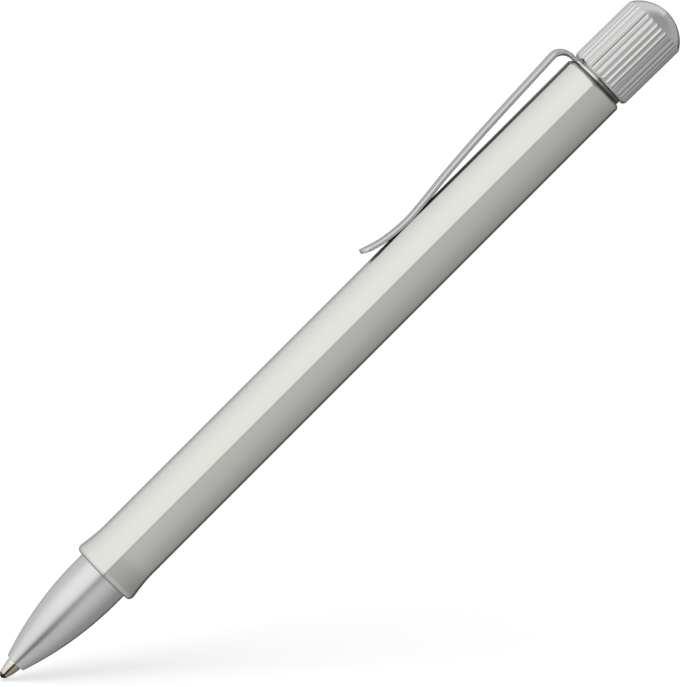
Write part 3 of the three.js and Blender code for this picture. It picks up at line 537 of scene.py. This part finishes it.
nose_grid = np.vstack([
    lathe(np.vstack([front_face, tip_edge, ogive, back_face]), cone_angle),
    spun(thread_x, thread_radius, cone_angle),
    lathe(bore_outline, cone_angle),
])
dress(
    skin("nose_cone_ogive", nose_grid, close_along=True),
    plated_finish, "nose", "nose_cone",
)

# Refill's ball. Tungsten carbide, ground and polished, 1 mm across. It turns in the tip's lip and is
# dark with ink.
BALL_RADIUS = 0.5

ball_finish = satin_metal("inked_carbide", (0.03, 0.028, 0.026), 0.15, 20000.0, 0.05, wear=0.05)
dress(
    turned("writing_ball", arc(BALL_RADIUS, 0, BALL_RADIUS, math.pi, 0, 33), 64, closed=False, sharp=80),
    ball_finish, "refill", "refill_ball",
)

# Refill's tip. Nickel silver, turned to a cone and polished, with its lip rolled over the ball and its
# shank pressed into the neck.
TIP_RADIUS = 1.15
TIP_CONE_END = 2.8
TIP_LENGTH = 7.96
TIP_SHANK_RADIUS = 0.83
TIP_SHANK_BACK = 12.16
INK_CHANNEL = 0.35

# Ink on its lip, as far back as INK_TO, and a painted reflection below: a darker underside that starts with
# a dark line, where the tip reflects the shadow beneath it and a dark gap, both between heights above the
# pen's axis.
INK = (0.06, 0.06, 0.06)
INK_TO = 0.5
INK_FADE = 0.22 * MM
PAINTED_REFLECTION_UNDERSIDE = (0.58, 0.56, 0.53)
PAINTED_REFLECTION_UNDERSIDE_SPAN = (-1.3, -0.14)
PAINTED_REFLECTION_UNDERSIDE_FADE = 0.14 * MM
PAINTED_REFLECTION_LINE = (0.12, 0.11, 0.1)
PAINTED_REFLECTION_LINE_SPAN = (-0.2, -0.06)
PAINTED_REFLECTION_LINE_FADE = 0.12 * MM


def heights(span):
    """The two ends of a span, given in millimetres above the pen's axis, in metres in the frame."""
    return [AXIS_Z + height * MM for height in span]


tip_finish = satin_metal("polished_nickel_silver", (0.95, 0.87, 0.76), 0.07, 16000.0, 0.03, wear=0.02)
stain_and_painted_shade(tip_finish, "X", along(0), along(INK_TO), INK_FADE, INK)
# Painted reflection: the tip's underside and a dark line along it are darkened.
stain_and_painted_shade(tip_finish, "Z", *heights(PAINTED_REFLECTION_UNDERSIDE_SPAN), PAINTED_REFLECTION_UNDERSIDE_FADE, PAINTED_REFLECTION_UNDERSIDE)
stain_and_painted_shade(tip_finish, "Z", *heights(PAINTED_REFLECTION_LINE_SPAN), PAINTED_REFLECTION_LINE_FADE, PAINTED_REFLECTION_LINE)
tip_lip = [(0.32, 0.49), (0.3, 0.53), (0.34, 0.57), (0.5, 0.66)]
tip_cone = [(1.5, 0.95), (TIP_CONE_END - 0.3, TIP_RADIUS - 0.02), (TIP_CONE_END, TIP_RADIUS)]
tip_shank = [
    (TIP_LENGTH, TIP_RADIUS), (TIP_LENGTH, TIP_SHANK_RADIUS), (TIP_SHANK_BACK, TIP_SHANK_RADIUS),
]
ink_room = [(TIP_SHANK_BACK, INK_CHANNEL), (1.2, INK_CHANNEL), (1.03, 0.53), (0.5, 0.53)]
dress(
    turned("refill_tip_cone", tip_lip + tip_cone + tip_shank + ink_room, 96),
    tip_finish, "refill", "refill_tip",
)

# Refill's neck and tube. A turned brass neck is pressed into the front of a drawn tube, which is
# nickel plated and holds the ink. The tube's front end stands on the return spring.
NECK_FRONT = 8.0
NECK_RADIUS = 1.75
NECK_FLANGE_FRONT = 18.99
NECK_FLANGE_RADIUS = 2.62
NECK_BACK = 20.59
NECK_BORE = 1.26
NECK_BORE_FRONT = 12.8
NECK_SOCKET = 0.86
NECK_SOCKET_BACK = 12.4
NECK_CHAMFER = 0.3
TUBE_FRONT = 18.25
TUBE_BACK = 94.55
TUBE_RADIUS = 2.95
TUBE_BORE = 2.65
TUBE_HOLE = 1.78
TUBE_FRONT_WALL = 0.7
TUBE_ROUNDING = 0.2
AROUND_SCALE = 40.0  # of a lathe's rings, round the pen


def turned_metal(name, colour, roughness, lines, depth, smoother=0.06, rougher=0.1):
    """A lathe's finish: fine rings round the pen's axis, from noise that is squeezed along it."""
    material, shader, place = one_colour(name, colour, 1)
    tree = material.node_tree
    stretch = (lines, AROUND_SCALE, AROUND_SCALE)
    squeezed = add(tree, "ShaderNodeMapping", [("Vector", place), ("Scale", stretch)]).outputs[0]
    rings = add(tree, "ShaderNodeTexNoise", [("Vector", squeezed), ("Scale", 1.0), ("Detail", 3.0)])
    roughen(material, shader, rings.outputs["Fac"], roughness - smoother, roughness + rougher)
    emboss(material, shader, rings.outputs["Fac"], depth, GRAIN_HEIGHT)
    return material


brass_finish = turned_metal("turned_brass", (0.79, 0.62, 0.33), 0.24, 5000.0, 0.12)
tube_finish = turned_metal("plated_tube", (0.80, 0.80, 0.79), 0.28, 3000.0, 0.1)
neck_outline = [
    (NECK_FRONT, NECK_SOCKET), (NECK_FRONT, NECK_RADIUS - NECK_CHAMFER),
    (NECK_FRONT + NECK_CHAMFER, NECK_RADIUS), (NECK_FLANGE_FRONT, NECK_RADIUS),
    (NECK_FLANGE_FRONT, NECK_FLANGE_RADIUS), (NECK_BACK, NECK_FLANGE_RADIUS), (NECK_BACK, NECK_BORE),
    (NECK_BORE_FRONT, NECK_BORE), (NECK_SOCKET_BACK, NECK_SOCKET),
]
dress(turned("refill_neck_brass", neck_outline, 96), brass_finish, "refill", "refill_neck")
tube_outline = [
    (TUBE_FRONT, TUBE_HOLE), (TUBE_FRONT, TUBE_RADIUS - TUBE_ROUNDING),
    (TUBE_FRONT + 0.3 * TUBE_ROUNDING, TUBE_RADIUS - 0.3 * TUBE_ROUNDING),
    (TUBE_FRONT + TUBE_ROUNDING, TUBE_RADIUS), (TUBE_BACK, TUBE_RADIUS), (TUBE_BACK, TUBE_BORE),
    (TUBE_FRONT + TUBE_FRONT_WALL, TUBE_BORE), (TUBE_FRONT + TUBE_FRONT_WALL, TUBE_HOLE),
]
dress(
    turned("refill_tube_plated", tube_outline, 120),
    tube_finish, "refill", "refill_tube",
)

# Return spring. Hard steel wire, coiled open, standing on the nose's shoulder with the refill's tube
# on its other end.
WIRE_RADIUS = 0.2
COIL_RADIUS = 2.22
COIL_TURNS = 8
COIL_FROM = 9.24
COIL_TO = 18.01


def capped(grid):
    """Close a grid's two ends, each by a row whose points all lie in the middle of the end."""
    ends = [np.repeat(row.mean(0, keepdims=True), len(row), 0)[None] for row in (grid[0], grid[-1])]
    return np.vstack([ends[0], grid, ends[1]])


def coil(name, steps=48, sides=12):
    """A wire of round section along a helix: the section stands square to the helix at each step."""
    angle = np.linspace(0, COIL_TURNS * 2 * math.pi, COIL_TURNS * steps + 1)[:, None]
    rise = (COIL_TO - COIL_FROM) / (COIL_TURNS * 2 * math.pi)
    centre = spun(COIL_FROM + rise * angle, COIL_RADIUS + 0 * angle, angle)
    outward = spun(0 * angle, 1 + 0 * angle, angle)
    forward = spun(rise + 0 * angle, COIL_RADIUS + 0 * angle, angle + math.pi / 2)
    forward[..., 0] = rise
    forward = forward / np.linalg.norm(forward, axis=-1, keepdims=True)
    side = np.cross(forward, outward)
    around = np.linspace(0, 2 * math.pi, sides, endpoint=False)[None, :, None]
    grid = centre + WIRE_RADIUS * (outward * np.cos(around) + side * np.sin(around))
    return skin(name, capped(grid), sharp=50)


spring_finish = turned_metal("spring_steel", (0.66, 0.67, 0.68), 0.26, 1500.0, 0.05)
dress(coil("return_spring_coil"), spring_finish, "nose", "return_spring")

# Clip. One leaf of spring steel, pressed to a shallow arch, bent down at its root and polished. Its
# foot runs into the ring that is held between the barrel and the crown.
CLIP_METAL = 0.57
CLIP_ARM_METAL = 0.66
CLIP_WIDTH = 5.0
CLIP_ROOT_WIDTH = 3.7
CLIP_ARCH = 0.56
CLIP_TOE_ARCH = 0.43
CLIP_ROOT_ARCH = 0.14  # the share of CLIP_ARCH that is left where the bend meets the foot
CLIP_BEND_RADIUS = 2.25
CLIP_HEIGHT = 7.27
CLIP_LOW_X = BARREL_END - 34.1
CLIP_LOW_Z = 5.3227
CLIP_TAIL = 7.9
CLIP_TAIL_CURL = 21.7
CLIP_TAIL_ROUNDING = 1.8
CLIP_TAIL_NARROWING = 0.75
CLIP_TAIL_MIDDLE = (0.45, 0.3)  # shares of the tail's length and rise
CLIP_ARM_SHAPE = [(0.58, 0.708), (0.3, 0.415), (0.13, 0.135)]  # shares of the arm's run and rise
CLIP_ROW_SPACING = 1.6  # above 1, rows of points stand closer towards the tail
CLIP_FOOT_DEPTH = 0.5
CLIP_FOOT_FLAT = 0.52  # how far above the ring its foot stays flat
CLIP_INNER_SIDE = -0.3  # what faces further down than this is left as rolled
CLIP_EDGE = 0.17
RING_FRONT = 123.425
RING_BACK = 123.995
RING_RADIUS = 4.46
RING_BORE = 2.99
RING_CREST = 0.25  # where its rim is highest, as a share of its thickness
RING_FRONT_ROUNDING = 0.08
RING_BACK_ROUNDING = 0.2
# Painted shade on the clip's ring: its lower half is darkened, where it lies in shade between the barrel
# and the crown.
RING_PAINTED_SHADE = (0.3, 0.3, 0.3)
RING_PAINTED_SHADE_SPAN = (-6, -1.2)  # its lower half, by heights above the pen's axis
RING_PAINTED_SHADE_FADE = 1.5 * MM

clip_finish = satin_metal("polished_spring_steel", (0.87, 0.87, 0.875), 0.13, 14000.0, 0.03, wear=0.03)
# Painted shade on the lower half of the clip's ring.
stain_and_painted_shade(clip_finish, "Z", *heights(RING_PAINTED_SHADE_SPAN), RING_PAINTED_SHADE_FADE, RING_PAINTED_SHADE)
rolled_finish = satin_metal("spring_steel_as_rolled", (0.3, 0.3, 0.305), 0.3, 9000.0, 0.1, wear=0.05)


def spline(points, share):
    """A smooth line through points, as a Catmull-Rom curve: each span is a cubic that runs along the
    line between the neighbours of each of its ends."""
    points = np.asarray(points, float)
    place = np.clip(share, 0, 1) * (len(points) - 1)
    span = np.minimum(place.astype(int), len(points) - 2)
    t = (place - span)[:, None]
    padded = np.vstack([2 * points[0] - points[1], points, 2 * points[-1] - points[-2]])
    before, start, stop, after = (padded[span + i] for i in range(4))
    return 0.5 * (
        2 * start
        + (stop - before) * t
        + (2 * before - 5 * start + 4 * stop - after) * t**2
        + (3 * start - before - 3 * stop + after) * t**3
    )


def leaf(name, line, outward, half_width, arch, span, metal):
    """A leaf of metal along a line, which stands out from the line along its own outward direction.
    Its outer side is the arch height = arch * (1 - (across / span) ** 2), the inner side is the same
    arch, lower by the metal's thickness, and quarter circles of radius CLIP_EDGE round its edges."""
    reach = half_width[:, None] - CLIP_EDGE
    across = reach * np.linspace(-1, 1, 25)
    height = arch[:, None] * (1 - (across / span[:, None]) ** 2)
    turn = np.linspace(0, math.pi / 2, 6)
    edge_across = reach + CLIP_EDGE * np.concatenate([np.sin(turn), np.cos(turn)])
    outer_edge = CLIP_EDGE * (1 - np.cos(turn)) + 0 * metal[:, None]
    inner_edge = metal[:, None] - CLIP_EDGE * (1 - np.sin(turn))
    edge_height = height[:, -1:] - np.hstack([outer_edge, inner_edge])
    outline_across = np.hstack([across, edge_across, -across, -edge_across[:, ::-1]])
    outline_height = np.hstack([height, edge_height, height - metal[:, None], edge_height[:, ::-1]])
    grid = np.empty((*outline_across.shape, 3))
    grid[..., 0] = line[:, None, 0] + outward[:, None, 0] * outline_height
    grid[..., 1] = outline_across
    grid[..., 2] = line[:, None, 1] + outward[:, None, 1] * outline_height
    return skin(name, capped(grid), sharp=40)


bend_x = RING_BACK - CLIP_BEND_RADIUS
bend_z = CLIP_HEIGHT - CLIP_BEND_RADIUS
arm_rise = CLIP_HEIGHT - CLIP_LOW_Z
arm_run = bend_x - CLIP_LOW_X
tail_x = CLIP_LOW_X - CLIP_TAIL
tail_rise = CLIP_TAIL_CURL - math.sqrt(CLIP_TAIL_CURL**2 - CLIP_TAIL**2)
arm_line = spline(
    [
        (bend_x, CLIP_HEIGHT),
        *((CLIP_LOW_X + run * arm_run, CLIP_LOW_Z + rise * arm_rise) for run, rise in CLIP_ARM_SHAPE),
        (CLIP_LOW_X, CLIP_LOW_Z),
        (tail_x + CLIP_TAIL_MIDDLE[0] * CLIP_TAIL, CLIP_LOW_Z + CLIP_TAIL_MIDDLE[1] * tail_rise),
        (tail_x, CLIP_LOW_Z + tail_rise),
    ],
    1 - (1 - np.linspace(0, 1, 181)) ** CLIP_ROW_SPACING,
)
bend_angle = np.linspace(0, math.pi / 2, 25)[:-1]
bend_outward = np.stack([np.cos(bend_angle), np.sin(bend_angle)], axis=-1)
bend_line = np.array([bend_x, bend_z]) + CLIP_BEND_RADIUS * bend_outward
foot_z = math.sqrt(RING_RADIUS**2 - (CLIP_ROOT_WIDTH / 2) ** 2) - CLIP_FOOT_DEPTH
foot_line = np.array([(RING_BACK, foot_z), (RING_BACK, RING_RADIUS + CLIP_FOOT_FLAT)])
clip_line = np.vstack([foot_line, bend_line, arm_line])
slope = np.gradient(arm_line, axis=0)
slope = slope / np.linalg.norm(slope, axis=-1, keepdims=True)
arm_outward = np.stack([slope[:, 1], -slope[:, 0]], axis=-1)
clip_outward = np.vstack([[(1, 0), (1, 0)], bend_outward, arm_outward])
bend_share = np.sin(bend_angle) ** 2
tail_share = np.clip((arm_line[:, 0] - tail_x) / CLIP_TAIL_ROUNDING, 0, 1)
tail_width = 1 - CLIP_TAIL_NARROWING * (1 - np.sqrt(1 - (1 - tail_share) ** 2))
root_half = CLIP_ROOT_WIDTH / 2
bend_half = root_half + (CLIP_WIDTH / 2 - root_half) * bend_share
clip_half = np.concatenate([[root_half, root_half], bend_half, CLIP_WIDTH / 2 * tail_width])
clip_span = np.concatenate([[root_half, root_half], bend_half, CLIP_WIDTH / 2 + 0 * tail_width])
bend_arch = CLIP_ARCH * (CLIP_ROOT_ARCH + (1 - CLIP_ROOT_ARCH) * bend_share)
arm_share = np.clip((arm_line[:, 0] - CLIP_LOW_X) / arm_run, 0, 1)
clip_arch = np.concatenate([[0, 0], bend_arch, CLIP_TOE_ARCH + (CLIP_ARCH - CLIP_TOE_ARCH) * arm_share])
thicker = np.concatenate([[0, 0], bend_share, 1 + 0 * arm_share])
clip_metal = CLIP_METAL + (CLIP_ARM_METAL - CLIP_METAL) * thicker
clip_leaf = leaf("clip_leaf", clip_line, clip_outward, clip_half, clip_arch, clip_span, clip_metal)
clip_leaf.data.materials.append(clip_finish)
clip_leaf.data.materials.append(rolled_finish)
for polygon in clip_leaf.data.polygons:
    if polygon.normal.z < CLIP_INNER_SIDE:
        polygon.material_index = 1
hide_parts("clip_arm")
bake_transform(clip_leaf)
ring_turn = np.linspace(math.pi, 0, 21)
ring_crest = RING_FRONT + RING_CREST * (RING_BACK - RING_FRONT)
ring_reach = np.where(ring_turn > math.pi / 2, ring_crest - RING_FRONT, RING_BACK - ring_crest)
ring_drop = np.where(ring_turn > math.pi / 2, RING_FRONT_ROUNDING, RING_BACK_ROUNDING)
ring_x = ring_crest + ring_reach * np.cos(ring_turn)
ring_edge = np.stack([ring_x, RING_RADIUS - ring_drop * (1 - np.sin(ring_turn))], axis=-1)
ring_outline = np.vstack([[(RING_FRONT, RING_BORE)], ring_edge, [(RING_BACK, RING_BORE)]])
dress(turned("clip_collar", ring_outline, 180), clip_finish, "barrel", "clip_ring")

# Crown. Brass, turned with a domed end and a small chamfer, broached with straight grooves that leave
# narrow ribs, and nickel plated, a little brighter than the nose. It sits on the stem that it turns to
# work the pen, with a little play, so that it hangs low.
CROWN_FRONT = 124.045
CROWN_TOP = 138.225
CROWN_RADIUS = 5.16
CROWN_CHAMFER = 0.34
CHAMFER_LENGTH = 0.45
CHAMFER_ROUNDING = 0.85  # 1 is a straight chamfer
SHADOW_GAP = 0.03  # what it adds to the gap between the clip's ring and the crown
CROWN_RIBS = 36
RIB_HEIGHT = 0.17
RIB_SLOPE = 0.58
RIB_ROUNDING = 0.04
RIB_TURN = math.radians(2.3)
RIB_STATIONS = np.array([  # across one rib and its groove, which meet at 0.331
    -0.45, -0.38, -0.345, -0.331, -0.25, -0.17, -0.10, -0.04, 0, 0.04, 0.10, 0.17, 0.25, 0.331, 0.345, 0.38,
])
DOME_HEIGHT = 2.88
CROWN_FACE_RADIUS = 4.4
CROWN_RECESS = 4.3
CROWN_RECESS_BACK = 125.145
CROWN_BORE = 3.4
CROWN_BORE_BACK = 133.445
CROWN_SAG = 0.12  # how far its outside sits below the pen's axis at its front
CROWN_SAG_SLOPE = 0.014  # and what is added to that along it

crown_finish = satin_metal("satin_nickel_ribs", (0.80, 0.80, 0.79), 0.1, 12000.0, 0.04, wear=0.02)
pitch = 2 * math.pi * CROWN_RADIUS / CROWN_RIBS
crown_angle = ((np.arange(CROWN_RIBS)[:, None] * pitch + RIB_STATIONS) / CROWN_RADIUS).ravel() + RIB_TURN
rib_drop = RIB_SLOPE * (np.sqrt(RIB_STATIONS**2 + RIB_ROUNDING**2) - RIB_ROUNDING)
rib_radius = np.tile(CROWN_RADIUS - np.minimum(rib_drop, RIB_HEIGHT), CROWN_RIBS)
dome_radius = (CROWN_RADIUS**2 + DOME_HEIGHT**2) / (2 * DOME_HEIGHT)
rib_to = CROWN_TOP - dome_radius + np.sqrt(dome_radius**2 - rib_radius**2)
chamfer_from = CROWN_FRONT + SHADOW_GAP
chamfer_rise = np.linspace(0, 1, 9)[:, None] * (1 - (CROWN_RADIUS - rib_radius) / CROWN_CHAMFER)
chamfer_x = chamfer_from + CHAMFER_LENGTH * (1 - (1 - chamfer_rise) ** CHAMFER_ROUNDING)
crown_chamfer = spun(chamfer_x, CROWN_RADIUS - CROWN_CHAMFER * (1 - chamfer_rise), crown_angle)
rib_from = chamfer_x[-1]
rib_share = np.linspace(0, 1, 12)[1:, None]
crown_ribs = spun(rib_from + rib_share * (rib_to - rib_from), rib_radius, crown_angle)
dome_share = np.linspace(1, 0, 28)[1:, None]
dome_rise = dome_share * np.arcsin(rib_radius / dome_radius)
crown_dome = spun(
    CROWN_TOP - dome_radius + dome_radius * np.cos(dome_rise), dome_radius * np.sin(dome_rise), crown_angle
)
recess_outline = [
    (CROWN_BORE_BACK, 0), (CROWN_BORE_BACK, CROWN_BORE), (CROWN_RECESS_BACK, CROWN_BORE),
    (CROWN_RECESS_BACK, CROWN_RECESS), (CROWN_FRONT, CROWN_RECESS), (CROWN_FRONT, CROWN_FACE_RADIUS),
    (chamfer_from, CROWN_FACE_RADIUS),
]
crown_outside = np.vstack([crown_chamfer, crown_ribs, crown_dome])
crown_tilt = CROWN_SAG_SLOPE * crown_outside[..., 2]
crown_outside[..., 2] -= CROWN_SAG + CROWN_SAG_SLOPE * (crown_outside[..., 0] - CROWN_FRONT)
crown_outside[..., 0] += crown_tilt
crown_grid = np.vstack([lathe(recess_outline, crown_angle), crown_outside])
dress(skin("ribbed_crown", crown_grid, sharp=34), crown_finish, "crown", "crown")

# Inner pieces. They keep their shapes from the construction model and get the finish of what they
# are made of: turned brass, moulded acetal, steel and rubber.
MOULD_HEIGHT = 0.03 * MM


def moulded(name, colour, roughness, scale, depth, wear=0.08):
    """A moulded plastic or rubber: an even colour, with a faint texture from the mould."""
    material, shader, place = one_colour(name, colour, 0)
    tree = material.node_tree
    texture = add(tree, "ShaderNodeTexNoise", [("Vector", place), ("Scale", scale), ("Detail", 3.0)])
    roughen(material, shader, texture.outputs["Fac"], roughness - wear, roughness + wear)
    emboss(material, shader, texture.outputs["Fac"], depth, MOULD_HEIGHT)
    return material


acetal_finish = moulded("moulded_acetal", (0.82, 0.81, 0.77), 0.45, 4000.0, 0.15)
rubber_finish = moulded("moulded_rubber", (0.02, 0.02, 0.02), 0.65, 6000.0, 0.3)
INNER_FINISHES = {
    "barrel_front_bush": brass_finish,
    "mechanism_housing": brass_finish,
    "cam_rotor": brass_finish,
    "clip_nut": brass_finish,
    "crown_insert": brass_finish,
    "refill_rear_plug": acetal_finish,
    "pusher": acetal_finish,
    "mechanism_end_ring": acetal_finish,
    "thrust_washer": acetal_finish,
    "crown_washer": acetal_finish,
    "cross_pin": clip_finish,
    "friction_ring": rubber_finish,
}
for node, finish in INNER_FINISHES.items():
    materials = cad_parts[node].data.materials
    materials.clear()
    materials.append(finish)
